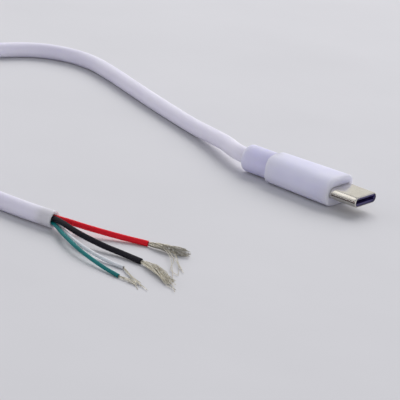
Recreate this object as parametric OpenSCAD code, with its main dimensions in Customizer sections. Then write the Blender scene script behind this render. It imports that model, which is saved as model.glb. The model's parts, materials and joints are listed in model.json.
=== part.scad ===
// Moulded plug on a short lead: metal shell at the front, cable out of the back, stripped wires at the far end.
// Millimetres. X is across the plug, the mouth faces -Y, Z is up and the floor is z = 0.
// The origin lies under the middle of the plug, halfway between the shell's lip and the neck's rear end.

/* [Plug shell] */
// Outside width of the metal shell
shell_w = 8.25; // [7:0.05:10]
// Outside height of the metal shell
shell_h = 2.4; // [2:0.05:3]
// Thickness of the shell's sheet
shell_wall = 0.25; // [0.15:0.01:0.3]
// Length of shell that stands out of the housing
shell_reach = 6.65; // [5:0.05:9]
// Length of shell hidden in the housing
shell_root = 4.85; // [4:0.05:6.5]
// Rounding of the shell's front lip
lip_r = 0.12; // [0.05:0.01:0.15]

/* [Housing] */
// Side wall of the moulding beside the shell
side_wall = 0.825; // [0.6:0.025:1.5]
// Moulding above and below the shell
top_wall = 2.05; // [1.5:0.05:2.5]
// Length of the moulding
body_len = 17.4; // [16.5:0.1:24]
// How much narrower the moulding is at its rear, on each side
rear_draft = 0.85; // [0.2:0.05:1.2]
// Squareness of the front section's outline: 2 is an ellipse, 10 nearly a rectangle
front_square = 3.6; // [2.4:0.1:6]
// Squareness of the rear section's outline
rear_square = 3; // [2.2:0.1:6]
// Rounding of the front and rear edges
edge_r = 0.45; // [0.2:0.05:0.6]

/* [Strain relief] */
// Length of the neck that shows behind the moulding
neck_len = 7.55; // [5:0.05:12]
// How much smaller than the moulding's height the neck is
neck_step = 0.35; // [0.0:0.05:0.6]
// Rounding of the neck's rear rim
neck_r = 0.95; // [0.4:0.05:1.05]
// Thickness of the collar that locks the neck in the moulding
collar_t = 1.2; // [0.8:0.1:1.5]
// How far the collar stands out of its groove
collar_step = 0.35; // [0.2:0.05:0.5]
// Wall of the neck's root between the cable and the groove
root_wall = 0.25; // [0.2:0.01:0.3]
// Depth of the groove in front of the neck, filled by the moulding
groove_len = 1.5; // [1.2:0.1:1.8]

/* [Insulator] */
// Setback of the insulator behind the shell's lip
insulator_setback = 0.2; // [0.1:0.05:0.5]
// Length of the insulator
insulator_len = 7.4; // [6.5:0.1:8]
// Thickness of the side wall beside the tongue slot
slot_side_wall = 0.43; // [0.35:0.01:0.5]
// Thickness of the insulator above and below the slot
slot_cover = 0.5; // [0.46:0.01:0.6]
// Length of the front ring before the latch channels start
front_ring = 1.3; // [1.0:0.05:1.6]

/* [Contacts] */
// Width of one contact strip
contact_w = 0.24; // [0.18:0.01:0.28]
// Thickness of the contact sheet
contact_t = 0.14; // [0.1:0.01:0.17]
// Depth of the groove that a contact lies in
groove_depth = 0.24; // [0.2:0.01:0.26]
// How far a contact's tip bows into the slot
contact_bow = 0.1; // [0.04:0.01:0.14]
// Space between the slot's end and the outermost contact's middle
slot_end = 0.67; // [0.55:0.01:0.8]

/* [Latch and ground springs] */
// Thickness of the latch plate
latch_t = 0.2; // [0.15:0.01:0.24]
// Width of a latch arm
latch_arm_w = 0.3; // [0.25:0.01:0.35]
// How far a latch hook reaches into the slot
latch_hook = 0.3; // [0.2:0.02:0.4]
// Thickness of the ground spring sheet
spring_t = 0.08; // [0.05:0.01:0.09]
// Length of the ground spring plate
spring_len = 1.5; // [1.2:0.05:1.8]
// Fingers on each ground spring
spring_fingers = 4; // [2:1:4]

/* [Circuit board] */
// Thickness of the board
board_t = 0.6; // [0.5:0.02:0.7]
// How much narrower than the tongue slot the board is, on each side
board_inset = 0.22; // [0.1:0.02:0.4]
// Length of the board behind the contact carriers
board_len = 6.6; // [6:0.1:7.4]

/* [Cable] */
// Outside diameter of the cable
cable_d = 3.6; // [3:0.05:4.2]
// Running clearance of the cable in the neck's bore
bore_clear = 0.02; // [0.01:0.01:0.05]
// Diameter of the red and black wires over their insulation
power_wire_d = 1.2; // [1:0.02:1.26]
// Diameter of the white and green wires over their insulation
signal_wire_d = 0.8; // [0.6:0.02:0.9]
// Share of a wire's diameter that its copper strands fill
strand_share = 0.55; // [0.4:0.01:0.7]
// Wall of the cable's jacket, seen at its cut end
jacket_wall = 0.38; // [0.3:0.01:0.42]
// Depth of the open end that the wires come out of
open_end = 3; // [1:0.5:6]

/* [Hidden] */
$fn = 48;
hair = 0.01;
fit = 0.02;

// Overall sizes that follow from the driving ones
body_w = shell_w + 2 * side_wall;
body_h = shell_h + 2 * top_wall;
rear_w = body_w - 2 * rear_draft;
neck_d = body_h - neck_step;
plug_len = shell_reach + body_len + neck_len;
mid_z = body_h / 2;

// Stations along the plug, from the lip to the neck's rear end
lip_y = -plug_len / 2;
face_y = lip_y + shell_reach;
shell_end_y = face_y + shell_root;
body_end_y = face_y + body_len;
neck_end_y = body_end_y + neck_len;
insulator_y = lip_y + insulator_setback;
insulator_end_y = insulator_y + insulator_len;
carrier_end_y = shell_end_y - 0.6;
board_y = carrier_end_y;
board_end_y = board_y + board_len;
collar_y = body_end_y - groove_len - collar_t;
mould_end_y = collar_y;
mould_y = shell_end_y - 0.7;
cable_start_y = collar_y - 1.0;

// Inside of the shell
shell_in_w = shell_w - 2 * shell_wall;
shell_in_h = shell_h - 2 * shell_wall;
insulator_w = shell_in_w - 2 * fit;
insulator_h = shell_in_h - 2 * fit;
slot_w = insulator_w - 2 * slot_side_wall;
slot_h = insulator_h - 2 * slot_cover;
board_w = slot_w - 2 * board_inset;
contact_pitch = (slot_w - 2 * slot_end) / 11;
latch_gap = 0.05;
channel_h = latch_t + 4 * latch_gap;

// Heights of a contact above the plug's middle: in its groove, and on the board
beam_z = slot_h / 2 + groove_depth - contact_t / 2 - 0.04;
tail_z = board_t / 2 + contact_t / 2;
contact_start_y = insulator_y + 1.7;
window_w = 0.6;
window_pitch = 1.4;
spring_y = insulator_y + front_ring + 0.1 - spring_len / 2;
spring_w = (spring_fingers - 1) * window_pitch + window_w + 0.4;

// Positions in the twelve-place rows, counted from 0
upper_places = [0, 3, 4, 5, 6, 8, 11];
lower_places = [0, 3, 4, 8, 11];

// Bore, groove and collar of the neck
bore_d = cable_d + 2 * bore_clear;
groove_d = bore_d + 2 * root_wall;
collar_d = groove_d + 2 * collar_step;

// Inner mould: a wide collar that closes the shell's rear, then a narrower block round the board
mould_wall = 0.4;
mould_room = board_t + 2 * power_wire_d + 4 * fit;
mould_w = board_w + 2 * mould_wall;
mould_h = mould_room + 2 * mould_wall;
mould_r = mould_wall;
mould_collar_w = shell_w + 0.5;
mould_collar_h = shell_h + 1.3;
mould_collar_end_y = shell_end_y + 0.6;

// Wires where they cross the jacket's cut end, [x, z] from the cable's middle
power_ring = 0.7;
signal_ring = 0.9;
red_at = [power_ring * cos(20), power_ring * sin(20)];
black_at = [power_ring * cos(140), power_ring * sin(140)];
white_at = [signal_ring * cos(285), signal_ring * sin(285)];
green_at = [signal_ring * cos(222), signal_ring * sin(222)];
board_wire_x = 1.5;
joint_len = 1.3;

// The cable's route: out of the neck, along the floor to its cut end
cable_r = cable_d / 2;
cable_route = [
    [0, cable_start_y, mid_z], [0, neck_end_y, mid_z],
    [1, 19.5, 3.25], [3.4, 24, 3.15], [6.3, 29.7, 2.6], [9.4, 36.9, 2], [13, 45.7, 1.8],
    [17, 55.7, 1.8], [21.5, 66.2, 1.8], [25.3, 75.3, 1.8], [27.4, 82.1, 1.8], [27.3, 87.7, 1.8],
    [25, 92.9, 1.8], [21.1, 96.7, 1.8], [15.8, 99.2, 1.8], [8, 101.8, 1.8], [-1, 104, 1.8], [-9, 105.3, 1.8],
    [-17, 105.7, 1.8], [-26, 104.7, 1.8], [-35, 101.7, 1.8], [-43, 97.1, 1.8], [-50, 90.7, 1.8],
    [-56, 82.7, 1.8], [-60.5, 73.7, 1.8], [-63.8, 64.2, 1.8], [-66, 54.7, 1.8], [-67.6, 45.2, 1.8],
    [-68.5, 35.7, 1.8], [-68.7, 28.7, 1.8], [-68.6, 21.7, 1.9], [-68, 14.7, 2]];
cut = cable_route[len(cable_route) - 1];
cut_heading = unit(cut - cable_route[len(cable_route) - 2]);

// A wire lies straight in the jacket's open end, then follows its own route
function out_of_jacket(at, route) = concat(
    [for (reach = [0.2 - open_end, 0.3]) cut + [at[0], 0, at[1]] + reach * cut_heading], route);

// Routes of the free wires, from the jacket's cut end to where their insulation ends
red_route = out_of_jacket(red_at, [[-66.4, 12, 2.1], [-65.6, 10, 1.9], [-64, 7.3, 1.5],
    [-61.8, 3.9, 1], [-59.9, 0.5, 0.7], [-58.6, -2.3, 0.6]]);
black_route = out_of_jacket(black_at, [[-68.9, 12.6, 2.5], [-69.5, 9.5, 2.3], [-69.8, 6.7, 2],
    [-69.5, 4.1, 1.6], [-68.9, 0.7, 1.1], [-68.3, -2.7, 0.8], [-68, -7.9, 0.6]]);
white_route = out_of_jacket(white_at, [[-68.4, 12.7, 1.2], [-69.9, 10.3, 1.3], [-72, 5.9, 1.2],
    [-73, 2.5, 1], [-73.5, -0.5, 0.8], [-73.6, -4.3, 0.5], [-73.4, -7.7, 0.4]]);
green_route = out_of_jacket(green_at, [[-69.4, 13.1, 1.5], [-71.1, 10.5, 1.5], [-73.8, 5.7, 1.5],
    [-75.6, 1.7, 1.3], [-76.5, -1.7, 1], [-77.4, -6.1, 0.6], [-78, -10.1, 0.4]]);

// Routes of the bared strands, from the insulation's end to their tips
function bared(route, points) =
    let (end = route[len(route) - 1]) concat([end + 0.08 * unit(points[0] - end)], points);
red_strand_route = bared(red_route, [[-58.2, -6, 1], [-55.8, -11.3, 0.7]]);
black_strand_route = bared(black_route, [[-69.1, -12, 0.9], [-72.4, -19, 0.7]]);
white_strand_route = bared(white_route, [[-75.3, -10.7, 0.4], [-78.4, -16.9, 0.35]]);
green_strand_route = bared(green_route, [[-78, -12.5, 0.4], [-78.4, -15.5, 0.35]]);
red_loose_route = [[-58, -5.6, 0.8], [-60.6, -9.6, 0.9], [-63.4, -13.2, 0.5], [-66.6, -15.9, 0.3]];

// Vector helpers and the tube that follows a route
function unit(v) = v / norm(v);
function heading(route, i) = unit(route[min(i + 1, len(route) - 1)] - route[max(i - 1, 0)]);
function tube_ring(route, i, r, sides) =
    let (along = heading(route, i), across = unit(cross(along, [0, 0, 1])), over = cross(across, along))
    [for (k = [0:sides - 1]) route[i] + r * (cos(360 * k / sides) * across + sin(360 * k / sides) * over)];
function tube_points(route, radii, sides) =
    [for (i = [0:len(route) - 1]) each tube_ring(route, i, radii[i], sides)];
function tube_faces(rings, sides) = concat(
    [[for (k = [sides - 1:-1:0]) k]],
    [for (i = [0:rings - 2]) for (k = [0:sides - 1])
        [i * sides + k, i * sides + (k + 1) % sides, (i + 1) * sides + (k + 1) % sides, (i + 1) * sides + k]],
    [[for (k = [0:sides - 1]) (rings - 1) * sides + k]]);

module tube(route, radii, sides = 8) {
    polyhedron(tube_points(route, radii, sides), tube_faces(len(route), sides), convexity = 10);
}

// A flattened oval: a rectangle with half-round ends
module oval(width, height) {
    square([width - height, height], center = true);
    for (side = [-1, 1]) translate([side * (width - height) / 2, 0]) circle(d = height);
}

// A flat outline in X and Z, drawn out along Y from y0 to y1 about the plug's axis
module along_plug(y0, y1) {
    translate([0, y1, mid_z]) rotate([90, 0, 0]) linear_extrude(y1 - y0) children();
}

module rounded_section(width, height, r) {
    square([width - 2 * r, height], center = true);
    square([width, height - 2 * r], center = true);
    for (sx = [-1, 1], sy = [-1, 1])
        translate([sx * (width / 2 - r), sy * (height / 2 - r)]) circle(r = r, $fn = 48);
}

// An outline with gently crowned sides and soft corners
function signed_power(v, n) = sign(v) * pow(abs(v), n);
module crowned_section(width, height, square) {
    polygon([for (turn = [0:5:355])
        [width / 2 * signed_power(cos(turn), 2 / square), height / 2 * signed_power(sin(turn), 2 / square)]]);
}

// A strip of sheet bent along a list of [y, z] points, seen from the side and drawn out across X
module bent_strip(points, thick, width) {
    translate([-width / 2, 0, mid_z]) rotate([90, 0, 90]) linear_extrude(width) {
        for (i = [0:len(points) - 2]) {
            step = points[i + 1] - points[i];
            translate(points[i]) rotate(atan2(step[1], step[0]))
                translate([0, -thick / 2]) square([norm(step), thick]);
        }
        for (i = [1:len(points) - 2]) translate(points[i]) circle(d = thick, $fn = 16);
    }
}

// The shell's outer form, with its rounded front lip
module shell_form() {
    half = (shell_w - shell_h) / 2;
    for (side = [-1, 1]) translate([side * half, 0, mid_z]) rotate([-90, 0, 0])
        rotate_extrude() {
            translate([0, lip_y + lip_r]) square([shell_h / 2, shell_end_y - lip_y - lip_r]);
            translate([0, lip_y]) square([shell_h / 2 - lip_r, lip_r * 2]);
            intersection() {
                translate([shell_h / 2 - lip_r, lip_y + lip_r]) circle(r = lip_r, $fn = 24);
                translate([0, lip_y]) square([shell_h, shell_end_y - lip_y]);
            }
        }
    translate([-half, 0, mid_z]) rotate([90, 0, 90]) linear_extrude(2 * half) {
        translate([lip_y + lip_r, -shell_h / 2]) square([shell_end_y - lip_y - lip_r, shell_h]);
        translate([lip_y, -shell_h / 2 + lip_r]) square([2 * lip_r, shell_h - 2 * lip_r]);
        for (side = [-1, 1])
            translate([lip_y + lip_r, side * (shell_h / 2 - lip_r)]) circle(r = lip_r, $fn = 24);
    }
}

module plug_shell() {
    color([0.75, 0.74, 0.70]) difference() {
        shell_form();
        along_plug(lip_y - 1, shell_end_y + 1) oval(shell_in_w, shell_in_h);
    }
}

module front_housing() {
    color([0.22, 0.17, 0.42]) difference() {
        along_plug(insulator_y, insulator_end_y) oval(insulator_w, insulator_h);
        along_plug(insulator_y - 1, insulator_end_y + 1) square([slot_w, slot_h], center = true);
        along_plug(insulator_y + front_ring, insulator_end_y + 1)
            square([shell_w, channel_h], center = true);
        for (side = [-1, 1]) {
            for (i = [0:11]) translate([place_x(i), 0, 0])
                along_plug(contact_start_y - 0.2, insulator_end_y + 1)
                    translate([0, side * (slot_h / 2 + groove_depth / 2 - hair)])
                        square([contact_w + 4 * fit, groove_depth + 2 * hair], center = true);
            along_plug(spring_y - fit, spring_y + spring_len + fit)
                translate([0, side * (insulator_h / 2 - spring_t / 2)])
                    square([spring_w + 2 * fit, spring_t + 2 * hair], center = true);
            for (i = [0:spring_fingers - 1]) translate([finger_x(i), 0, 0])
                along_plug(spring_y + 0.3, spring_y + spring_len - 0.2)
                    translate([0, side * insulator_h / 4])
                        square([window_w, insulator_h / 2 + 2 * hair], center = true);
        }
    }
}

function place_x(i) = (i - 5.5) * contact_pitch;
function finger_x(i) = (i - (spring_fingers - 1) / 2) * window_pitch;

module latch_plate() {
    arm_in = slot_w / 2 + latch_gap;
    arm_out = arm_in + latch_arm_w;
    hook_y = insulator_y + front_ring + latch_gap;
    plate_y = insulator_end_y + 0.1;
    right_half = [[arm_out, carrier_end_y], [arm_out, hook_y], [arm_in, hook_y],
        [arm_in - latch_hook, hook_y + 0.35], [arm_in - latch_hook, hook_y + 0.6], [arm_in, hook_y + 1.1],
        [arm_in, plate_y]];
    left_half = [for (i = [len(right_half) - 1:-1:0]) [-right_half[i][0], right_half[i][1]]];
    color([0.72, 0.72, 0.74]) translate([0, 0, mid_z - latch_t / 2]) linear_extrude(latch_t)
        polygon(concat(right_half, left_half));
}

// A thin plate in the insulator's pocket, with fingers bent through its windows into the slot
module ground_spring() {
    pocket_z = insulator_h / 2 - spring_t / 2;
    root_y = spring_y + spring_len - 0.35;
    tip_y = spring_y + 0.45;
    color([0.74, 0.74, 0.75]) {
        along_plug(spring_y, spring_y + spring_len) translate([0, pocket_z])
            difference() {
                square([spring_w, spring_t], center = true);
                for (i = [0:spring_fingers - 1]) translate([finger_x(i), 0])
                    square([window_w, 2 * spring_t], center = true);
            }
        for (i = [0:spring_fingers - 1]) translate([finger_x(i), 0, 0]) {
            bent_strip([[root_y + 0.35, pocket_z], [root_y, pocket_z], [tip_y + 0.25, slot_h / 2 - 0.03],
                [tip_y, slot_h / 2 + 0.06]], spring_t, window_w - 0.2);
            for (y = [spring_y, spring_y + spring_len - 0.2])
                along_plug(y, y + 0.2) translate([0, pocket_z]) square([window_w + hair, spring_t], center = true);
        }
    }
}

module flipped() {
    translate([0, 0, 2 * mid_z]) mirror([0, 0, 1]) children();
}

module upper_ground_spring() ground_spring();
module lower_ground_spring() flipped() ground_spring();

// One spring contact: hooked tip, beam in its groove, step down, and tail on the board
module contact(place) {
    tip_z = slot_h / 2 - contact_bow + contact_t / 2;
    color([0.86, 0.68, 0.32]) translate([place_x(place), 0, 0])
        bent_strip([[contact_start_y, beam_z], [contact_start_y + 0.7, tip_z], [contact_start_y + 2.2, beam_z],
            [carrier_end_y - 0.5, beam_z], [carrier_end_y + 0.05, tail_z], [carrier_end_y + 1.4, tail_z]],
            contact_t, contact_w);
}

// A block behind the insulator, with one open groove for each contact of its row
module carrier(places) {
    bottom = latch_t / 2 + latch_gap;
    top = shell_in_h / 2 - fit;
    block_w = slot_w - 0.2;
    color([0.20, 0.18, 0.24]) difference() {
        intersection() {
            translate([-block_w / 2, insulator_end_y + fit, mid_z + bottom])
                cube([block_w, carrier_end_y - 0.55 - insulator_end_y - fit, top - bottom]);
            along_plug(insulator_end_y, shell_end_y) oval(insulator_w, insulator_h);
        }
        for (place = places)
            translate([place_x(place) - contact_w / 2, insulator_end_y, mid_z + beam_z - contact_t / 2])
                cube([contact_w, shell_end_y - insulator_end_y, top]);
    }
}

module upper_contact_carrier() carrier(upper_places);
module lower_contact_carrier() flipped() carrier(lower_places);

module contact_a1() contact(upper_places[0]);
module contact_a4() contact(upper_places[1]);
module contact_a5() contact(upper_places[2]);
module contact_a6() contact(upper_places[3]);
module contact_a7() contact(upper_places[4]);
module contact_a9() contact(upper_places[5]);
module contact_a12() contact(upper_places[6]);
module contact_b1() flipped() contact(lower_places[0]);
module contact_b4() flipped() contact(lower_places[1]);
module contact_b5() flipped() contact(lower_places[2]);
module contact_b9() flipped() contact(lower_places[3]);
module contact_b12() flipped() contact(lower_places[4]);

module circuit_board() {
    color([0.05, 0.33, 0.16])
        translate([-board_w / 2, board_y, mid_z - board_t / 2]) cube([board_w, board_len, board_t]);
}

module chip_resistor() {
    chip = [1.0, 0.5, 0.35];
    color([0.12, 0.12, 0.13])
        translate([-chip[0] / 2, board_y + board_len * 0.45, mid_z + board_t / 2]) cube(chip);
}

// Where each wire meets the board: x, and +1 above or -1 below it
wire_ends = [[board_wire_x, 1, power_wire_d], [-board_wire_x, 1, power_wire_d],
    [board_wire_x, -1, signal_wire_d], [-board_wire_x, -1, signal_wire_d]];

// The bared end of a wire lies on its pad, half its insulation's diameter above the board
function tail_height(end) = board_t / 2 + end[2] / 2 + fit;

// The round way that a wire's bared end takes through its solder
module bared_end(i, y0, y1) {
    end = wire_ends[i];
    translate([end[0], y0, mid_z + end[1] * tail_height(end)]) rotate([-90, 0, 0])
        cylinder(h = y1 - y0, d = end[2] * strand_share);
}

module wire_tail(i, at) {
    end = wire_ends[i];
    z = mid_z + end[1] * tail_height(end);
    r = end[2] / 2;
    strip_y = board_end_y + 0.15;
    tube([[end[0], board_end_y - joint_len, z], [end[0], strip_y, z]], [1, 1] * r * strand_share);
    tube([[end[0], strip_y, z], [end[0], strip_y + 0.5, z], [at[0], cable_start_y - 0.4, mid_z + at[1]],
        [at[0], cable_start_y, mid_z + at[1]]], [1, 1, 1, 1] * r);
}

module wire_solder() {
    color([0.78, 0.78, 0.80]) for (i = [0:3]) {
        end = wire_ends[i];
        height = tail_height(end) - board_t / 2 + end[2] * strand_share / 4;
        middle = mid_z + end[1] * (board_t / 2 + height / 2);
        difference() {
            translate([end[0], board_end_y - joint_len / 2 - 0.05, middle])
                cube([1.2 * end[2], joint_len - 0.1, height], center = true);
            bared_end(i, board_end_y - joint_len - 1, board_end_y + 1);
        }
    }
}

module mould_form() {
    along_plug(mould_y, mould_collar_end_y) rounded_section(mould_collar_w, mould_collar_h, shell_h / 2);
    along_plug(mould_collar_end_y - hair, mould_end_y) rounded_section(mould_w, mould_h, mould_r);
}

module inner_mould() {
    color([0.85, 0.85, 0.88]) difference() {
        mould_form();
        shell_form();
        along_plug(cable_start_y, mould_end_y + 1) circle(d = bore_d);
        translate([-board_w / 2, board_y, mid_z - mould_room / 2]) cube([board_w, board_len + 0.2, mould_room]);
        along_plug(board_end_y + 0.1, cable_start_y + hair) square([board_w, mould_room], center = true);
    }
}

// The moulding's outer form: a loft from the wide front section to the rounder rear one
module housing_form() {
    stations = [[0, edge_r], [edge_r * 0.3, edge_r * 0.29], [edge_r, 0],
        [body_len - edge_r, 0], [body_len - edge_r * 0.3, edge_r * 0.29], [body_len, edge_r]];
    hull() for (station = stations) {
        share = station[0] / body_len;
        y = face_y + station[0];
        inset = station[1];
        w = body_w + (rear_w - body_w) * share - 2 * inset;
        square = front_square + (rear_square - front_square) * share;
        along_plug(y - (station[0] > 0 ? hair : 0), y + (station[0] > 0 ? 0 : hair))
            crowned_section(w, body_h - 2 * inset, square);
    }
}

module housing() {
    color([0.90, 0.90, 0.94]) difference() {
        housing_form();
        shell_form();
        mould_form();
        relief_form();
    }
}

// The relief: a collar and a groove locked in the moulding, then the neck with its rounded rear rim
module relief_form() {
    back = neck_end_y - collar_y;
    groove_end = body_end_y - collar_y;
    translate([0, collar_y, mid_z]) rotate([-90, 0, 0]) rotate_extrude() {
        square([collar_d / 2, collar_t]);
        square([groove_d / 2, groove_end + 1]);
        translate([0, groove_end]) square([neck_d / 2, neck_len - neck_r]);
        translate([0, groove_end]) square([neck_d / 2 - neck_r, neck_len]);
        intersection() {
            translate([neck_d / 2 - neck_r, back - neck_r]) circle(r = neck_r);
            translate([0, groove_end]) square([neck_d, neck_len]);
        }
    }
}

module strain_relief() {
    color([0.84, 0.81, 0.92]) difference() {
        relief_form();
        along_plug(collar_y - 1, neck_end_y + 1) circle(d = bore_d);
    }
}

module cable_jacket() {
    color([0.90, 0.89, 0.94]) difference() {
        tube(cable_route, [for (p = cable_route) cable_r]);
        tube([cut - open_end * cut_heading, cut + cut_heading], [1, 1] * (cable_r - jacket_wall));
    }
}

module free_wire(route, d) tube(route, [for (p = route) d / 2]);
module strands(route, d) tube(route, [d / 2 * strand_share, d / 2, d / 3]);

module red_wire() color([0.75, 0.05, 0.10]) { free_wire(red_route, power_wire_d); wire_tail(0, red_at); }
module black_wire() color([0.06, 0.06, 0.08]) { free_wire(black_route, power_wire_d); wire_tail(1, black_at); }
module white_wire() color([0.92, 0.92, 0.92]) { free_wire(white_route, signal_wire_d); wire_tail(2, white_at); }
module green_wire() color([0.05, 0.42, 0.38]) { free_wire(green_route, signal_wire_d); wire_tail(3, green_at); }

module red_strands() color([0.70, 0.68, 0.62]) {
    strands(red_strand_route, power_wire_d);
    tube(red_loose_route, [for (share = [0.3, 0.4, 0.35, 0.2]) share * power_wire_d]);
}
module black_strands() color([0.70, 0.68, 0.62]) strands(black_strand_route, power_wire_d);
module white_strands() color([0.70, 0.68, 0.62]) strands(white_strand_route, signal_wire_d);
module green_strands() color([0.70, 0.68, 0.62]) strands(green_strand_route, signal_wire_d);

plug_shell();
front_housing();
latch_plate();
upper_ground_spring();
lower_ground_spring();
upper_contact_carrier();
lower_contact_carrier();
contact_a1();
contact_a4();
contact_a5();
contact_a6();
contact_a7();
contact_a9();
contact_a12();
contact_b1();
contact_b4();
contact_b5();
contact_b9();
contact_b12();
circuit_board();
chip_resistor();
wire_solder();
inner_mould();
housing();
strain_relief();
cable_jacket();
red_wire();
black_wire();
white_wire();
green_wire();
red_strands();
black_strands();
white_strands();
green_strands();
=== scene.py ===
"""Looks of a moulded plug on a short stripped lead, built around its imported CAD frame.

The frame gives every size of the plug. The script adds the finish of each surface, the cord at its real length,
the coloured wires, and their frayed strands. Lengths in the constants are in millimetres, angles in degrees.
"""

import json
import logging
import math
import random
from dataclasses import dataclass, field, replace
from enum import Enum

import bpy
from mathutils import Matrix, Vector

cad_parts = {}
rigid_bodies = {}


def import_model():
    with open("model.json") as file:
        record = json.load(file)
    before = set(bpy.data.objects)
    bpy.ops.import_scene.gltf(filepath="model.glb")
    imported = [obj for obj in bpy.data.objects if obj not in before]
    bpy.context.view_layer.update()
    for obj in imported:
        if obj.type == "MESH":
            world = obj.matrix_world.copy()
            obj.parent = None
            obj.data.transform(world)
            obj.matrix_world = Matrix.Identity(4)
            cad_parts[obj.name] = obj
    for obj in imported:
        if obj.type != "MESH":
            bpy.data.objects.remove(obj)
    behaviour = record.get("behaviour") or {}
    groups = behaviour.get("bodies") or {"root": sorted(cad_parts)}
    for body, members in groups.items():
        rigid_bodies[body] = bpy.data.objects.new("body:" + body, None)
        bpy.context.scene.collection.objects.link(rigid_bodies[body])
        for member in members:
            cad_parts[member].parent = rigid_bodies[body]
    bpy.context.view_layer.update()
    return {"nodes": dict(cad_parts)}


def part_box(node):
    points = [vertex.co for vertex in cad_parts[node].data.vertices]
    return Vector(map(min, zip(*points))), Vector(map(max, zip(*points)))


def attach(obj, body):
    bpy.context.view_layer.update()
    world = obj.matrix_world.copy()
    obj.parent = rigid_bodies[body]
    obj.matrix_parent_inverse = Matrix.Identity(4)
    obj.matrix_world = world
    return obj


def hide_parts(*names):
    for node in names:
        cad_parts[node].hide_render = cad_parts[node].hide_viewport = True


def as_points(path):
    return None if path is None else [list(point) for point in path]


log = logging.getLogger("plug")

MM = 0.001
BODY = "root"


def mm(x, y, z):
    """A point given in millimetres, as a vector in metres."""
    return Vector((x, y, z)) * MM


def linear(colour):
    """Turns an sRGB hex colour such as "d4d7e4" into the linear RGBA that shaders take.

    Args:
        colour: six hex digits.
    Returns:
        A tuple of four floats.
    """
    channels = [int(colour[i : i + 2], 16) / 255 for i in (0, 2, 4)]
    return tuple(c / 12.92 if c <= 0.04045 else ((c + 0.055) / 1.055) ** 2.4 for c in channels) + (1.0,)


# Finishes


@dataclass(frozen=True)
class PlasticFinish:
    """A moulded or extruded plastic: its colour, slight mottling, satin grain and how far light enters it."""

    name: str
    slot: str
    base: str
    mottle: str
    roughness: float
    blotch_mm: float = 6.0
    grain_mm: float = 0.12
    grain_height_mm: float = 0.004
    depth_mm: float = 0.0
    depth_share: float = 0.0
    coat: float = 0.0
    gloss: float = 0.5


@dataclass(frozen=True)
class MetalFinish:
    """A plated or tinned metal: its colour, the tone of its duller patches, and its fine drawing lines."""

    name: str
    slot: str
    base: str
    dull: str
    roughness: float
    line_mm: float = 0.15
    line_stretch: float = 12.0
    line_height_mm: float = 0.001
    patch_mm: float = 2.2


# Soft PVC over-moulded on the plug, satin from its tool
HOUSING_PVC = PlasticFinish("white_moulded_pvc", "white_pvc", "e1e1f5", "dcdcf2", 0.44, 7, 0.14, 0.004, 3.6, 0.9)
# The same PVC in the bend relief, injected thicker and slightly more violet
RELIEF_PVC = PlasticFinish("violet_white_moulded_pvc", "relief_pvc", "dbdaf3", "d6d4f0", 0.46, 5, 0.14, 0.005, 3.0, 0.9)
# Extruded PVC jacket with faint lengthwise flow
JACKET_PVC = PlasticFinish("white_extruded_pvc", "jacket_pvc", "eae8f6", "e5e2f2", 0.42, 9, 0.2, 0.003, 1.6, 0.7)
# Extruded and dyed wire insulation
RED_PVC = PlasticFinish("red_extruded_pvc", "red_pvc", "f01a2c", "e4152a", 0.42, 2.5, 0.1, 0.002, gloss=0.2)
BLACK_PVC = PlasticFinish("black_extruded_pvc", "black_pvc", "15121c", "1b1824", 0.5, 2.5, 0.1, 0.003, gloss=0.2)
WHITE_WIRE_PVC = PlasticFinish("clear_white_extruded_pvc", "white_wire_pvc", "eeeff4", "e6e8ee", 0.36, 2, 0.1, 0.002, 0.3, 0.3)
GREEN_PVC = PlasticFinish("green_extruded_pvc", "green_pvc", "0a7e80", "087375", 0.42, 2.5, 0.1, 0.002, gloss=0.2)
# Glass-filled nylon insulator, moulded
INSULATOR = PlasticFinish("violet_moulded_nylon", "violet_insulator", "37296f", "2c2058", 0.4, 1.5, 0.06, 0.003)
CARRIER = PlasticFinish("black_moulded_nylon", "dark_insulator", "211d28", "2a2633", 0.5, 1.5, 0.06, 0.003)
INNER_MOULD = PlasticFinish("natural_moulded_polyethylene", "inner_pe", "d2d2d9", "c6c6cf", 0.5, 3, 0.2, 0.004, 0.8, 0.2)
# Fibreglass laminate under solder mask, and an epoxy chip
BOARD = PlasticFinish("masked_laminate", "board_green", "0c4a26", "0a3d20", 0.3, 1.2, 0.1, 0.002, coat=0.4)
CHIP = PlasticFinish("moulded_epoxy", "chip_black", "1c1c1f", "242428", 0.5, 0.5, 0.04, 0.001)
# Deep-drawn steel, nickel plated
NICKEL = MetalFinish("nickel_plated_steel", "nickel_shell", "dcd9d3", "d2cec6", 0.17, 0.12, 14, 0.0003)
# Stamped stainless spring sheet
SPRING = MetalFinish("stamped_stainless", "spring_steel", "b9b9bc", "9c9ca1", 0.3, 0.1, 8, 0.001)
# Stamped copper alloy under gold flash
GOLD = MetalFinish("gold_flashed_alloy", "gold_contact", "dcb765", "c39a45", 0.26, 0.08, 10, 0.0008)
SOLDER = MetalFinish("reflowed_solder", "solder", "bdbdc2", "9fa0a6", 0.33, 0.2, 1, 0.004)
# Fine tinned copper strand, dulled by handling
TINNED = MetalFinish("tinned_copper", "tinned_copper", "e2ded2", "8a8474", 0.34, 0.1, 10, 0.001, 0.4)


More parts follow.
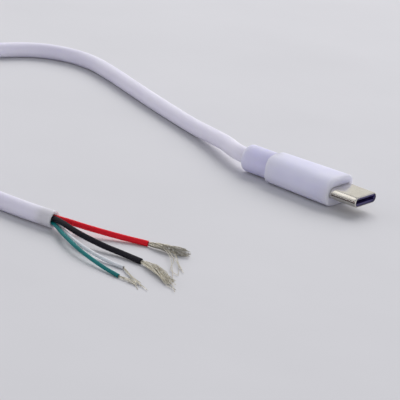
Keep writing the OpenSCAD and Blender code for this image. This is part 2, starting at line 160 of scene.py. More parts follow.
class MaterialBook:
    """Builds each finish once, as a procedural material with patterns in real millimetres."""

    def __init__(self):
        self.made = {}

    def get(self, finish):
        """Returns the material of a finish, made the first time that it is asked for."""
        if finish.name not in self.made:
            build = self._plastic if isinstance(finish, PlasticFinish) else self._metal
            self.made[finish.name] = build(finish)
            log.info("material %s", finish.name)
        return self.made[finish.name]

    @staticmethod
    def node(tree, kind, settings=None, **inputs):
        """Adds a node, sets its properties and its input values, and returns it."""
        node = tree.nodes.new(kind)
        for name, value in (settings or {}).items():
            setattr(node, name, value)
        for name, value in inputs.items():
            node.inputs[name.replace("_", " ")].default_value = value
        return node

    def _start(self, finish):
        material = bpy.data.materials.new(finish.name)
        material.use_nodes = True
        tree = material.node_tree
        shader = tree.nodes["Principled BSDF"]
        place = self.node(tree, "ShaderNodeTexCoord")
        return material, tree, shader, place.outputs["Object"]

    def _two_tones(self, tree, factor, first, second, low, high):
        """A colour that runs from first to second as the factor goes from low to high."""
        ramp = self.node(tree, "ShaderNodeValToRGB")
        ramp.color_ramp.elements[0].position, ramp.color_ramp.elements[0].color = low, linear(first)
        ramp.color_ramp.elements[1].position, ramp.color_ramp.elements[1].color = high, linear(second)
        tree.links.new(factor, ramp.inputs["Fac"])
        return ramp.outputs["Color"]

    def _spread(self, tree, factor, low, high):
        """Maps a 0 to 1 pattern onto low to high."""
        spread = self.node(tree, "ShaderNodeMapRange", To_Min=low, To_Max=high)
        tree.links.new(factor, spread.inputs["Value"])
        return spread.outputs["Result"]

    def _bump(self, tree, shader, height, height_mm):
        bump = self.node(tree, "ShaderNodeBump", Strength=1.0, Distance=height_mm * MM)
        tree.links.new(height, bump.inputs["Height"])
        tree.links.new(bump.outputs["Normal"], shader.inputs["Normal"])

    def _plastic(self, finish):
        material, tree, shader, place = self._start(finish)
        blotch = self.node(tree, "ShaderNodeTexNoise", Scale=1 / (finish.blotch_mm * MM), Detail=3.0, Roughness=0.5)
        grain = self.node(tree, "ShaderNodeTexNoise", Scale=1 / (finish.grain_mm * MM), Detail=2.0, Roughness=0.6)
        for pattern in (blotch, grain):
            tree.links.new(place, pattern.inputs["Vector"])
        colour = self._two_tones(tree, blotch.outputs["Fac"], finish.base, finish.mottle, 0.35, 0.7)
        tree.links.new(colour, shader.inputs["Base Color"])
        rough = self._spread(tree, grain.outputs["Fac"], finish.roughness - 0.05, finish.roughness + 0.08)
        tree.links.new(rough, shader.inputs["Roughness"])
        self._bump(tree, shader, grain.outputs["Fac"], finish.grain_height_mm)
        shader.inputs["IOR"].default_value = 1.5
        shader.inputs["Specular IOR Level"].default_value = finish.gloss
        shader.inputs["Coat Weight"].default_value = finish.coat
        shader.inputs["Subsurface Weight"].default_value = finish.depth_share
        shader.inputs["Subsurface Radius"].default_value = (1.0, 1.0, 1.0)
        shader.inputs["Subsurface Scale"].default_value = max(finish.depth_mm, 0.1) * MM
        return material

    def _metal(self, finish):
        material, tree, shader, place = self._start(finish)
        across = 1 / (finish.line_mm * MM)
        stretch = self.node(tree, "ShaderNodeMapping")
        stretch.inputs["Scale"].default_value = (across, across / finish.line_stretch, across)
        lines = self.node(tree, "ShaderNodeTexNoise", Scale=1.0, Detail=2.0, Roughness=0.6)
        patches = self.node(tree, "ShaderNodeTexNoise", Scale=1 / (finish.patch_mm * MM), Detail=4.0, Roughness=0.6)
        tree.links.new(place, stretch.inputs["Vector"])
        tree.links.new(stretch.outputs["Vector"], lines.inputs["Vector"])
        tree.links.new(place, patches.inputs["Vector"])
        colour = self._two_tones(tree, patches.outputs["Fac"], finish.base, finish.dull, 0.4, 0.75)
        tree.links.new(colour, shader.inputs["Base Color"])
        rough = self._spread(tree, lines.outputs["Fac"], finish.roughness - 0.06, finish.roughness + 0.1)
        tree.links.new(rough, shader.inputs["Roughness"])
        self._bump(tree, shader, lines.outputs["Fac"], finish.line_height_mm)
        shader.inputs["Metallic"].default_value = 1.0
        return material


# Mesh helpers


def make_piece(name, vertices, faces, material, finish, sharp_degrees=40.0):
    """Makes a smooth-shaded mesh piece that rides on the body.

    Args:
        name: the piece's name.
        vertices: points in the row frame, in metres.
        faces: lists of vertex numbers.
        material: its material.
        finish: not used.
        sharp_degrees: edges that bend more than this stay crisp.
    Returns:
        The new object.
    """
    mesh = bpy.data.meshes.new(name)
    mesh.from_pydata([tuple(v) for v in vertices], [], faces)
    mesh.polygons.foreach_set("use_smooth", [True] * len(mesh.polygons))
    mesh.set_sharp_from_angle(angle=math.radians(sharp_degrees))
    mesh.update()
    mesh.materials.append(material)
    piece = bpy.data.objects.new(name, mesh)
    bpy.context.scene.collection.objects.link(piece)
    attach(piece, BODY)
    log.info("piece %s: %d faces", name, len(faces))
    return piece


def skin(rings, closed=False, caps=(False, False)):
    """Joins rings of the same number of points into one surface.

    Args:
        rings: lists of points, each going round once.
        closed: whether the last ring joins the first.
        caps: whether the first and the last ring are filled.
    Returns:
        (vertices, faces).
    """
    count = len(rings[0])
    vertices = [p for ring in rings for p in ring]
    faces = []
    spans = len(rings) if closed else len(rings) - 1
    for i in range(spans):
        a, b = i * count, (i + 1) % len(rings) * count
        for k in range(count):
            n = (k + 1) % count
            faces.append((a + k, a + n, b + n, b + k))
    if caps[0]:
        faces.append(tuple(reversed(range(count))))
    if caps[1]:
        faces.append(tuple(range((len(rings) - 1) * count, len(rings) * count)))
    return vertices, faces


@dataclass(frozen=True)
class Section:
    """A rounded rectangle across the plug at one place along it, in metres. A circle has r = w / 2 = h / 2."""

    y: float
    w: float
    h: float
    r: float

    def inset(self, amount, y):
        """The same section at another place, smaller by an amount all round."""
        return replace(self, y=y, w=self.w - 2 * amount, h=self.h - 2 * amount, r=max(self.r - amount, 0.0001))

    def ring(self, middle_z, corner=14, side=10):
        """The section's points, with the same count for every section."""
        r = min(self.r, self.w / 2, self.h / 2)
        ends = []
        for turn in range(4):
            sx = 1 if turn in (0, 3) else -1
            sz = 1 if turn in (0, 1) else -1
            cx, cz = sx * (self.w / 2 - r), sz * (self.h / 2 - r)
            ends.append(
                [
                    Vector((cx + r * math.cos(a), self.y, middle_z + cz + r * math.sin(a)))
                    for a in (math.radians(90 * (turn + i / corner)) for i in range(corner + 1))
                ]
            )
        points = []
        for turn in range(4):
            points += ends[turn]
            start, stop = ends[turn][-1], ends[(turn + 1) % 4][0]
            points += [start.lerp(stop, i / side) for i in range(1, side)]
        return points


@dataclass(frozen=True)
class CrownedSection(Section):
    """A section with gently crowned sides and soft corners: 2 is an ellipse, 10 nearly a rectangle."""

    square: float = 3.0

    def ring(self, middle_z, corner=14, side=10):
        """The rounded rectangle's points, moved outwards or inwards onto the crowned outline."""
        points = []
        for point in super().ring(middle_z, corner, side):
            x, z, n = point.x, point.z - middle_z, self.square
            scale = (abs(2 * x / self.w) ** n + abs(2 * z / self.h) ** n) ** (-1 / n)
            points.append(Vector((x * scale, point.y, middle_z + z * scale)))
        return points


def rounded_edge(section, radius, outward, steps=6):
    """Sections that round an edge between a section's side wall and a flat end.

    Args:
        section: the section at the flat end, before the rounding.
        radius: the edge's radius.
        outward: -1 for an end that faces -Y, 1 for one that faces +Y.
        steps: sections in the quarter round.
    Returns:
        Sections from the side wall to the flat end.
    """
    turns = [math.radians(90 * i / steps) for i in range(steps + 1)]
    return [
        section.inset(radius * (1 - math.cos(a)), section.y - outward * radius * (1 - math.sin(a))) for a in turns
    ]


# Camera and studio


@dataclass
class PhotoCamera:
    """The photograph's camera, from a fit of the plug's edges and the cord's line in it."""

    azimuth: float = -55.9
    elevation: float = 18.6
    roll: float = 8.7
    place: Vector = field(default_factory=lambda: mm(-491.8, -306.4, 189.5))
    lens: float = 252.0
    sensor: float = 36.0

    def axes(self):
        """Returns the camera's right, up and back vectors."""
        a, e, r = (math.radians(v) for v in (self.azimuth, self.elevation, self.roll))
        back = Vector((math.sin(a) * math.cos(e), -math.cos(a) * math.cos(e), math.sin(e)))
        level = Vector((math.cos(a), math.sin(a), 0))
        rise = back.cross(level)
        right = math.cos(r) * level + math.sin(r) * rise
        up = -math.sin(r) * level + math.cos(r) * rise
        return right, up, back

    def build(self):
        data = bpy.data.cameras.new("photo_camera")
        data.lens, data.sensor_width = self.lens, self.sensor
        data.clip_start, data.clip_end = 0.01, 20
        camera = bpy.data.objects.new("photo_camera", data)
        bpy.context.scene.collection.objects.link(camera)
        right, up, back = self.axes()
        camera.matrix_world = Matrix(
            [
                [right.x, up.x, back.x, self.place.x],
                [right.y, up.y, back.y, self.place.y],
                [right.z, up.z, back.z, self.place.z],
                [0, 0, 0, 1],
            ]
        )
        bpy.context.scene.camera = camera
        log.info("camera at %s", tuple(round(v, 3) for v in self.place))
        return camera


@dataclass(frozen=True)
class SoftLight:
    """A rectangular studio light that faces a target point."""

    name: str
    place: tuple
    size: tuple
    watts: float
    tint: str
    target: tuple = (0.0, 0.03, 0.0)

    def build(self):
        data = bpy.data.lights.new(self.name, "AREA")
        data.shape, data.size, data.size_y = "RECTANGLE", *self.size
        data.energy, data.color = self.watts, linear(self.tint)[:3]
        light = bpy.data.objects.new(self.name, data)
        bpy.context.scene.collection.objects.link(light)
        light.visible_glossy = False
        light.location = self.place
        light.rotation_euler = (Vector(self.target) - Vector(self.place)).to_track_quat("-Z", "Y").to_euler()
        log.info("light %s, %.1f W", self.name, self.watts)
        return light


@dataclass(frozen=True)
class GlossyCard:
    """A flat glowing card that only shows in glossy surfaces, as a painted reflection or painted highlight, given by
    its four corners in metres.
    """

    name: str
    corners: tuple
    tone: str
    strength: float = 1.0

    def build(self):
        mesh = bpy.data.meshes.new(self.name)
        mesh.from_pydata(self.corners, [], [(0, 1, 2, 3)])
        card = bpy.data.objects.new(self.name, mesh)
        bpy.context.scene.collection.objects.link(card)
        # Even matt card that gives off its own tone, seen only in reflections
        glow = bpy.data.materials.new(self.name)
        glow.use_nodes = True
        shader = glow.node_tree.nodes["Principled BSDF"]
        shader.inputs["Base Color"].default_value = (0, 0, 0, 1)
        shader.inputs["Roughness"].default_value = 1.0
        shader.inputs["Emission Color"].default_value = linear(self.tone)
        shader.inputs["Emission Strength"].default_value = self.strength
        mesh.materials.append(glow)
        for ray in ("camera", "diffuse", "shadow", "transmission", "volume_scatter"):
            setattr(card, f"visible_{ray}", False)
        log.info("card %s", self.name)


class Studio:
    """Pale paper floor under a bright soft room, with a key light from behind on the right, two dark glowing cards that
    paint dark reflections on the shell, and two bright glowing cards that paint a highlight and a reflection on it.
    """

    FLOOR_SIZE = 3.0
    KEY = SoftLight("key_softbox", (1.7, 0.76, 1.47), (1.8, 1.8), 53.0, "fffdfd")
    CARDS = (
        # Glowing dark brown card seen only in reflections: a painted dark reflection along the middle of the shell's
        # side
        GlossyCard(
            "dark_side_card", ((-1.15, 0.02, -0.1), (-0.4, 1.1, -0.1), (-0.4, 1.1, 0.2), (-1.15, 0.02, 0.2)), "2c231d"
        ),
        # Glowing dark card on the floor beside the plug, seen only in reflections: a painted reflection of the shell's
        # shadow on its lower side
        GlossyCard(
            "low_dark_card",
            ((-0.008, -0.017, 0.0001), (-0.008, -0.004, 0.0001), (-0.03, 0.01, 0.0001), (-0.03, -0.017, 0.0001)),
            "3c332c",
        ),
        # Glowing bright card seen only in reflections: a painted highlight along the shell's upper shoulder
        GlossyCard(
            "shoulder_card", ((-0.72, 0.53, 0.3), (0.22, 0.87, 0.3), (0.22, 0.87, 1.7), (-0.72, 0.53, 1.7)), "f4f2ee", 1.4
        ),
        # Glowing card seen only in reflections: a painted reflection on the shell's flat top
        GlossyCard(
            "far_wall_card", ((0.2, 0.95, -0.02), (1.05, 0.17, -0.02), (1.05, 0.17, 1.2), (0.2, 0.95, 1.2)), "e6e4de"
        ),
    )
    ROOM_TOP = "9ea0a6"
    ROOM_LOW = "e4e2e0"
    ROOM_STRENGTH = 1.05

    def build(self, book):
        self._floor(book)
        self._room(book)
        for item in (self.KEY, *self.CARDS):
            item.build()
        scene = bpy.context.scene
        scene.view_settings.view_transform = "Standard"
        scene.view_settings.look = "None"

    def _floor(self, book):
        half = self.FLOOR_SIZE / 2
        mesh = bpy.data.meshes.new("paper_floor")
        mesh.from_pydata([(-half, -half, 0), (half, -half, 0), (half, half, 0), (-half, half, 0)], [], [(0, 1, 2, 3)])
        floor = bpy.data.objects.new("paper_floor", mesh)
        bpy.context.scene.collection.objects.link(floor)
        # Matt coated paper
        paper = bpy.data.materials.new("coated_paper")
        paper.use_nodes = True
        tree = paper.node_tree
        shader = tree.nodes["Principled BSDF"]
        place = book.node(tree, "ShaderNodeTexCoord")
        tooth = book.node(tree, "ShaderNodeTexNoise", Scale=1 / (40 * MM), Detail=3.0)
        tree.links.new(place.outputs["Object"], tooth.inputs["Vector"])
        colour = book._two_tones(tree, tooth.outputs["Fac"], "dadadd", "d7d7da", 0.3, 0.7)
        tree.links.new(colour, shader.inputs["Base Color"])
        shader.inputs["Roughness"].default_value = 0.9
        shader.inputs["Specular IOR Level"].default_value = 0.0
        mesh.materials.append(paper)

    def _room(self, book):
        world = bpy.data.worlds.new("soft_room")
        world.use_nodes = True
        tree = world.node_tree
        background = tree.nodes["Background"]
        place = book.node(tree, "ShaderNodeTexCoord")
        split = book.node(tree, "ShaderNodeSeparateXYZ")
        tree.links.new(place.outputs["Generated"], split.inputs["Vector"])
        colour = book._two_tones(tree, split.outputs["Z"], self.ROOM_LOW, self.ROOM_TOP, 0.2, 0.6)
        tree.links.new(colour, background.inputs["Color"])
        background.inputs["Strength"].default_value = self.ROOM_STRENGTH
        bpy.context.scene.world = world


# Tubes that follow a route


class Route:
    """A smooth line through given points, with a steady frame along it."""

    def __init__(self, points, step):
        """points: in metres. step: the spacing of the smooth line's points, in metres."""
        self.points = self._resample(self._smooth(points), step)
        self.headings = self._headings()
        self.sides = self._sides()

    @staticmethod
    def _smooth(points, parts=12):
        """Centripetal-like curve through the points: each span is a cubic with chord-scaled tangents."""
        count = len(points)
        tangents = []
        for i in range(count):
            before, after = points[max(i - 1, 0)], points[min(i + 1, count - 1)]
            d0 = max((points[i] - before).length, 1e-9)
            d1 = max((after - points[i]).length, 1e-9)
            if i == 0 or i == count - 1:
                tangents.append((after - before).normalized())
            else:
                slope = (points[i] - before) / d0 * d1 + (after - points[i]) / d1 * d0
                tangents.append(slope.normalized())
        line = []
        for i in range(count - 1):
            p0, p1 = points[i], points[i + 1]
            span = (p1 - p0).length
            m0, m1 = tangents[i] * span, tangents[i + 1] * span
            for k in range(parts):
                t = k / parts
                line.append(
                    p0 * (2 * t**3 - 3 * t**2 + 1)
                    + m0 * (t**3 - 2 * t**2 + t)
                    + p1 * (3 * t**2 - 2 * t**3)
                    + m1 * (t**3 - t**2)
                )
        line.append(points[-1].copy())
        return line

    @staticmethod
    def _resample(line, step):
        lengths = [0.0]
        for a, b in zip(line, line[1:]):
            lengths.append(lengths[-1] + (b - a).length)
        count = max(int(round(lengths[-1] / step)), 2)
        out, k = [], 0
        for i in range(count + 1):
            want = lengths[-1] * i / count
            while k < len(line) - 2 and lengths[k + 1] < want:
                k += 1
            share = (want - lengths[k]) / max(lengths[k + 1] - lengths[k], 1e-12)
            out.append(line[k].lerp(line[k + 1], share))
        return out

    def _headings(self):
        last = len(self.points) - 1
        return [(self.points[min(i + 1, last)] - self.points[max(i - 1, 0)]).normalized() for i in range(last + 1)]

    def _sides(self):
        side = self.headings[0].cross(Vector((0, 0, 1))).normalized()
        out = []
        for heading in self.headings:
            side = (side - heading * side.dot(heading)).normalized()
            out.append(side.copy())
        return out

    @property
    def length(self):
        return sum((b - a).length for a, b in zip(self.points, self.points[1:]))

    def ring(self, i, radius, sides, shift=0.0):
        """Points of a circle about place i, moved by shift along the route."""
        middle = self.points[i] + self.headings[i] * shift
        across = self.sides[i]
        over = self.headings[i].cross(across)
        turns = (2 * math.pi * k / sides for k in range(sides))
        return [middle + (across * math.cos(a) + over * math.sin(a)) * radius for a in turns]


def sleeve_rings(route, radius, bore, sides, edge, depth, start_shift=0.0):
    """Rings of a round sleeve whose far end is cut square and open.

    Args:
        route: the Route it follows.
        radius: outer radius.
        bore: radius of the hole at the far end.
        sides: points in a ring.
        edge: rounding of the cut edge.
        depth: how deep the hole is.
        start_shift: how far the first ring is moved along the route.
    Returns:
        A list of rings, from the near end, over the outside, round the cut edge and into the hole.
    """
    last = len(route.points) - 1
    rings = [route.ring(0, radius, sides, start_shift)]
    rings += [route.ring(i, radius, sides) for i in range(1, last)]
    for i in range(5):
        a = math.radians(90 * i / 4)
        rings.append(route.ring(last, radius - edge * (1 - math.cos(a)), sides, -edge * (1 - math.sin(a))))
    rings.append(route.ring(last, bore + edge * 0.5, sides))
    rings.append(route.ring(last, bore, sides, -edge * 0.5))
    rings.append(route.ring(last, bore, sides, -depth))
    return rings


# The plug


class Plug:
    """The moulding, its neck and the metal shell, all lofted from the frame's own sizes."""

    EDGE_RADIUS = 0.5 * MM
    REAR_EDGE_RADIUS = 0.3 * MM
    FRONT_SQUARE = 3.6
    REAR_SQUARE = 3.0
    GAP = 0.06 * MM
    RECESS = 0.5 * MM
    LIP_RADIUS = 0.12 * MM
    SHEET = 0.25 * MM
    NECK_EDGE = 0.95 * MM
    CORD_BORE = 3.66 * MM

    def __init__(self, book):
        self.book = book
        low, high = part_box("plug_shell")
        self.lip_y, self.shell_w, self.shell_h = low.y, high.x - low.x, high.z - low.z
        self.middle_z = (low.z + high.z) / 2
        low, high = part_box("housing")
        self.face_y, self.rear_y = low.y, high.y
        self.body_w, self.body_h = high.x - low.x, high.z - low.z
        low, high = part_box("strain_relief")
        self.neck_end_y, self.neck_d = high.y, high.x - low.x
        self.rear_w = self.body_w - 1.7 * MM

    def _add(self, name, sections, finish, replaced, closed=False, filled=False):
        rings = [section.ring(self.middle_z) for section in sections]
        vertices, faces = skin(rings, closed=closed, caps=(False, filled))
        piece = make_piece(name, vertices, faces, self.book.get(finish), finish)
        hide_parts(replaced)
        return piece

    def build(self):
        self._housing()
        self._neck()
        self._shell()

    def _body_section(self, share):
        """The moulding's section at a share of its length."""
        y = self.face_y + (self.rear_y - self.face_y) * share
        w = self.body_w + (self.rear_w - self.body_w) * share
        square = self.FRONT_SQUARE + (self.REAR_SQUARE - self.FRONT_SQUARE) * share
        return CrownedSection(y, w, self.body_h, 0.3 * self.body_h, square)

    def _housing(self):
        lead_in = 0.12 * MM
        slot = Section(
            self.face_y, self.shell_w + 2 * self.GAP, self.shell_h + 2 * self.GAP, self.shell_h / 2 + self.GAP
        )
        sections = [replace(slot, y=self.face_y + self.RECESS), replace(slot, y=self.face_y + lead_in)]
        sections.append(slot.inset(-lead_in, self.face_y))
        sections += reversed(rounded_edge(self._body_section(0), self.EDGE_RADIUS, -1))
        sections += [self._body_section(i / 24) for i in range(1, 24)]
        sections += rounded_edge(self._body_section(1), self.REAR_EDGE_RADIUS, 1)
        self._add("housing_moulding", sections, HOUSING_PVC, "housing", filled=True)

    def _neck(self):
        start, end = self.rear_y - self.RECESS, self.neck_end_y
        outer = Section(end, self.neck_d, self.neck_d, self.neck_d / 2)
        sections = [replace(outer, y=start + (end - self.NECK_EDGE - start) * i / 10) for i in range(10)]
        sections += rounded_edge(outer, self.NECK_EDGE, 1, steps=8)
        bore = Section(end, self.CORD_BORE, self.CORD_BORE, self.CORD_BORE / 2)
        sections += [bore.inset(-0.08 * MM, end), replace(bore, y=end - 0.08 * MM), replace(bore, y=end - self.RECESS)]
        self._add("bend_relief", sections, RELIEF_PVC, "strain_relief")

    def _shell(self):
        outer = Section(self.lip_y, self.shell_w, self.shell_h, self.shell_h / 2)
        inner = outer.inset(self.SHEET, self.lip_y)
        back = self.face_y + 4 * MM
        sections = [replace(outer, y=back)]
        sections += [replace(outer, y=self.face_y + (self.lip_y - self.face_y) * i / 8) for i in range(8)]
        sections += rounded_edge(outer, self.LIP_RADIUS, -1)
        sections += list(reversed(rounded_edge(inner, -0.06 * MM, -1, steps=3)))[1:]
        sections += [replace(inner, y=self.lip_y + 0.06 * MM), replace(inner, y=back)]
        self._add("drawn_shell", sections, NICKEL, "plug_shell", closed=True)


# The cord, its wires and their strands


class Gauge(Enum):
    """The two wire sizes in the cord, as the insulation's diameter in millimetres."""

    POWER = 1.2
    SIGNAL = 0.8


@dataclass(frozen=True)
class Fray:
    """One loose strand that leaves its bundle: the points that it passes, in millimetres."""

    points: tuple


@dataclass(frozen=True)
class Wire:
    """One insulated wire from the jacket's open end to its bared tip."""

    name: str
    gauge: Gauge
    finish: PlasticFinish
    at: tuple
    route: tuple
    strand_route: tuple
    strands: int
    swell: float
    twist: float
    frays: tuple = ()


CABLE_D = 3.6
JACKET_BORE = 1.42
OPEN_END = 3.0
NECK_END_Y = 15.8
CABLE_ROUTE = (
    (0, 4.55, 3.25), (0, 15.8, 3.25), (1, 19.5, 3.25), (3.4, 24, 3.15), (6.3, 29.7, 2.6), (9.4, 36.9, 2),
    (13, 45.7, 1.8), (17, 55.7, 1.8), (21.5, 66.2, 1.8), (25.3, 75.3, 1.8), (27.4, 82.1, 1.8), (27.3, 87.7, 1.8),
    (25, 92.9, 1.8), (21.1, 96.7, 1.8), (15.8, 99.2, 1.8), (8, 101.8, 1.8), (-1, 104, 1.8), (-9, 105.3, 1.8),
    (-17, 105.7, 1.8), (-26, 104.7, 1.8), (-35, 101.7, 1.8), (-43, 97.1, 1.8), (-50, 90.7, 1.8),
    (-56, 82.7, 1.8), (-60.5, 73.7, 1.8), (-63.8, 64.2, 1.8), (-66, 54.7, 1.8), (-67.6, 45.2, 1.8),
    (-68.5, 35.7, 1.8), (-68.7, 28.7, 1.8), (-68.6, 21.7, 1.9), (-68, 14.7, 2),
)

WIRES = (
    Wire(
        "red", Gauge.POWER, RED_PVC, (0.66, 0.24),
        ((-66.4, 12, 2.1), (-65.6, 10, 1.9), (-64, 7.3, 1.5), (-61.8, 3.9, 1), (-59.9, 0.5, 0.7), (-58.6, -2.3, 0.6)),
        ((-58.6, -2.3, 0.6), (-58.2, -6, 1), (-55.8, -11.3, 0.7)), 30, 1.35, 220,
        (
            Fray(((-58.5, -5.3, 0.9), (-60.9, -9.3, 1.0), (-65.8, -14, 0.4), (-70.7, -17.9, 0.2))),
            Fray(((-58, -5.8, 0.8), (-60.6, -9.9, 0.9), (-63.3, -13.7, 0.5), (-66, -15.7, 0.2))),
            Fray(((-57.5, -6.3, 0.8), (-60.1, -10.5, 0.8), (-62.3, -13, 0.5), (-63.7, -14.9, 0.2))),
            Fray(((-57.3, -6.8, 0.7), (-59.6, -10.3, 0.7), (-62, -12.5, 0.4), (-64.6, -15.9, 0.2))),
            Fray(((-58.2, -5.3, 0.8), (-61.5, -10.9, 0.7), (-66.4, -14.5, 0.3), (-66.8, -16.3, 0.2))),
        ),
    ),
    Wire(
        "black", Gauge.POWER, BLACK_PVC, (-0.54, 0.45),
        (
            (-68.9, 12.6, 2.5), (-69.5, 9.5, 2.3), (-69.8, 6.7, 2), (-69.5, 4.1, 1.6), (-68.9, 0.7, 1.1),
            (-68.3, -2.7, 0.8), (-68, -7.9, 0.6),
        ),
        ((-68, -7.9, 0.6), (-69.1, -12, 0.9), (-72.4, -19, 0.7)), 30, 1.45, 180,
        (
            Fray(((-68.6, -11.3, 0.7), (-70.5, -14.9, 0.8), (-73, -19.6, 0.6), (-74.8, -21.5, 0.3))),
            Fray(((-68.4, -10.8, 0.9), (-69.8, -13.8, 1.1), (-71.2, -17.1, 0.9), (-72.4, -19.9, 0.7))),
            Fray(((-68.8, -11.7, 0.5), (-71.4, -15.5, 0.4), (-73.4, -18.9, 0.3), (-73.4, -20.7, 0.2))),
        ),
    ),
    Wire(
        "white", Gauge.SIGNAL, WHITE_WIRE_PVC, (0.23, -0.87),
        (
            (-68.4, 12.7, 1.2), (-69.9, 10.3, 1.3), (-72, 5.9, 1.2), (-73, 2.5, 1), (-73.5, -0.5, 0.8),
            (-73.6, -4.3, 0.5), (-73.4, -7.7, 0.4),
        ),
        ((-73.4, -7.7, 0.4), (-75.3, -10.7, 0.4), (-78.4, -16.9, 0.35)), 4, 0.7, 90,
        (
            Fray(((-75.1, -10.4, 0.4), (-77.3, -14.3, 0.4), (-78.6, -17.7, 0.2))),
            Fray(((-75.5, -10.8, 0.3), (-77.9, -13.9, 0.2), (-79.6, -16.2, 0.1))),
        ),
    ),
    Wire(
        "green", Gauge.SIGNAL, GREEN_PVC, (-0.67, -0.6),
        (
            (-69.4, 13.1, 1.5), (-71.1, 10.5, 1.5), (-73.8, 5.7, 1.5), (-75.6, 1.7, 1.3), (-76.5, -1.7, 1),
            (-77.4, -6.1, 0.6), (-78, -10.1, 0.4),
        ),
        ((-78, -10.1, 0.4), (-78, -12.5, 0.4), (-78.4, -15.5, 0.35)), 5, 0.9, 120,
        (Fray(((-77.9, -11.9, 0.4), (-77.4, -13.7, 0.4), (-77.9, -15.7, 0.2))),),
    ),
)


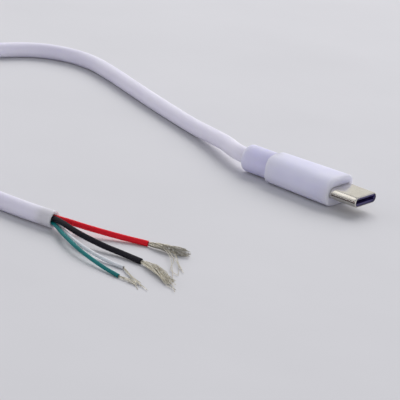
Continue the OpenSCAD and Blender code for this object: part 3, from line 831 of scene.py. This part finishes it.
class Lead:
    """The cable with its open end, the four wires and their strands."""

    SIDES = 32
    WIRE_SIDES = 16
    STRAND_SIDES = 5
    STRAND_D = 0.13 * MM
    COPPER_SHARE = 0.55

    def __init__(self, book):
        self.book = book
        self.route = Route([mm(*p) for p in CABLE_ROUTE], 1.0 * MM)

    def build(self):
        for wire in WIRES:
            self._insulation(wire)
            self._strands(wire)
        self._jacket()

    def _jacket(self):
        rings = sleeve_rings(
            self.route, CABLE_D / 2 * MM, JACKET_BORE * MM, self.SIDES, 0.1 * MM, OPEN_END * MM
        )
        vertices, faces = skin(rings, caps=(True, True))
        jacket = make_piece("cable", vertices, faces, self.book.get(JACKET_PVC), JACKET_PVC)
        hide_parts("cable_jacket")
        mm(0, NECK_END_Y, CABLE_ROUTE[1][2])
        self.route.length
        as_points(self.route.points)
        log.info("cord length %.1f mm", self.route.length / MM)

    def _wire_route(self, wire):
        """The wire's line: straight inside the jacket's open end, then along its own points."""
        cut, before = mm(*CABLE_ROUTE[-1]), mm(*CABLE_ROUTE[-2])
        heading = (cut - before).normalized()
        offset = mm(wire.at[0], 0, wire.at[1])
        inside = [cut + offset + heading * reach * MM for reach in (-OPEN_END + 0.1, 0.3)]
        return Route(inside + [mm(*p) for p in wire.route], 0.4 * MM)

    def _insulation(self, wire):
        radius = wire.gauge.value / 2 * MM
        route = self._wire_route(wire)
        rings = sleeve_rings(route, radius, radius * 0.62, self.WIRE_SIDES, 0.08 * MM, 0.8 * MM)
        vertices, faces = skin(rings, caps=(True, True))
        name = f"{wire.name}_insulation"
        piece = make_piece(name, vertices, faces, self.book.get(wire.finish), wire.finish)
        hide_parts(f"{wire.name}_wire")
        return piece

    def _strands(self, wire):
        rng = random.Random(f"strands {wire.name}")
        radius = wire.gauge.value / 2 * MM
        spine = Route([mm(*p) for p in wire.strand_route], 0.35 * MM)
        vertices, faces = [], []
        for number in range(wire.strands):
            self._add_tube(vertices, faces, self._strand_line(spine, wire, radius, number, rng), self.STRAND_D / 2)
        for fray in wire.frays:
            line = Route([mm(*wire.strand_route[0])] + [mm(*p) for p in fray.points], 0.4 * MM).points
            self._add_tube(vertices, faces, line, self.STRAND_D / 2)
        piece = make_piece(f"{wire.name}_bare_strands", vertices, faces, self.book.get(TINNED), TINNED)
        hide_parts(f"{wire.name}_strands")
        return piece

    def _strand_line(self, spine, wire, radius, number, rng):
        """One strand's line: packed at the insulation, swelling and wandering along the bundle."""
        share = math.sqrt((number + 0.5) / wire.strands)
        angle = number * 2.39996 + rng.uniform(-0.3, 0.3)
        count = len(spine.points) - 1
        reach = rng.uniform(0.82, 1.0)
        wander = [rng.uniform(-1, 1) for _ in range(4)]
        line = []
        for i in range(-2, int(count * reach) + 1):
            k = max(i, 0)
            t = k / count
            grow = self.COPPER_SHARE + (wire.swell - self.COPPER_SHARE) * math.sin(min(t * 1.7, 1) * math.pi / 2)
            r = radius * share * grow
            a = angle + math.radians(wire.twist) * t + 0.35 * wander[0] * math.sin(3.1 * t + 2 * wander[1])
            side, heading = spine.sides[k], spine.headings[k]
            over = heading.cross(side)
            point = spine.points[k] + (side * math.cos(a) + over * math.sin(a)) * r
            point += (side * wander[2] + over * wander[3]) * 0.3 * radius * t * t
            point += heading * min(i, 0) * 0.35 * MM
            point.z = max(point.z, self.STRAND_D / 2)
            line.append(point)
        return line

    def _add_tube(self, vertices, faces, line, radius):
        """Adds a closed thin tube along a line to the lists."""
        if len(line) < 3:
            return
        first = len(vertices)
        side = (line[1] - line[0]).cross(Vector((0.1, 0.2, 1))).normalized()
        rings = []
        for i, point in enumerate(line):
            heading = (line[min(i + 1, len(line) - 1)] - line[max(i - 1, 0)]).normalized()
            side = (side - heading * side.dot(heading)).normalized()
            over = heading.cross(side)
            turns = (2 * math.pi * k / self.STRAND_SIDES for k in range(self.STRAND_SIDES))
            rings.append([point + (side * math.cos(a) + over * math.sin(a)) * radius for a in turns])
        new_vertices, new_faces = skin(rings, caps=(True, True))
        vertices.extend(new_vertices)
        faces.extend(tuple(first + v for v in f) for f in new_faces)


# Nodes that keep their CAD shape


class KeptNodes:
    """Gives every CAD node that stays visible its procedural finish."""

    FINISHES = {
        "front_housing": INSULATOR,
        "latch_plate": SPRING,
        "upper_ground_spring": SPRING,
        "lower_ground_spring": SPRING,
        "upper_contact_carrier": CARRIER,
        "lower_contact_carrier": CARRIER,
        "circuit_board": BOARD,
        "chip_resistor": CHIP,
        "wire_solder": SOLDER,
        "inner_mould": INNER_MOULD,
    }

    def __init__(self, book, nodes):
        self.book = book
        self.nodes = nodes

    def build(self):
        for name, node in self.nodes.items():
            if node.hide_render:
                continue
            finish = GOLD if name.startswith("contact_") else self.FINISHES[name]
            node.data.materials.clear()
            node.data.materials.append(self.book.get(finish))
            log.info("node %s: %s", name, finish.name)


def main():
    """Builds the camera, the cord, the plug, the kept nodes and the studio, in that order."""
    logging.basicConfig(level=logging.INFO, format="%(message)s")
    for item in list(bpy.data.objects):
        bpy.data.objects.remove(item, do_unlink=True)
    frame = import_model()
    book = MaterialBook()
    PhotoCamera().build()
    Lead(book).build()
    Plug(book).build()
    KeptNodes(book, frame["nodes"]).build()
    Studio().build(book)


if __name__ == "__main__":
    main()
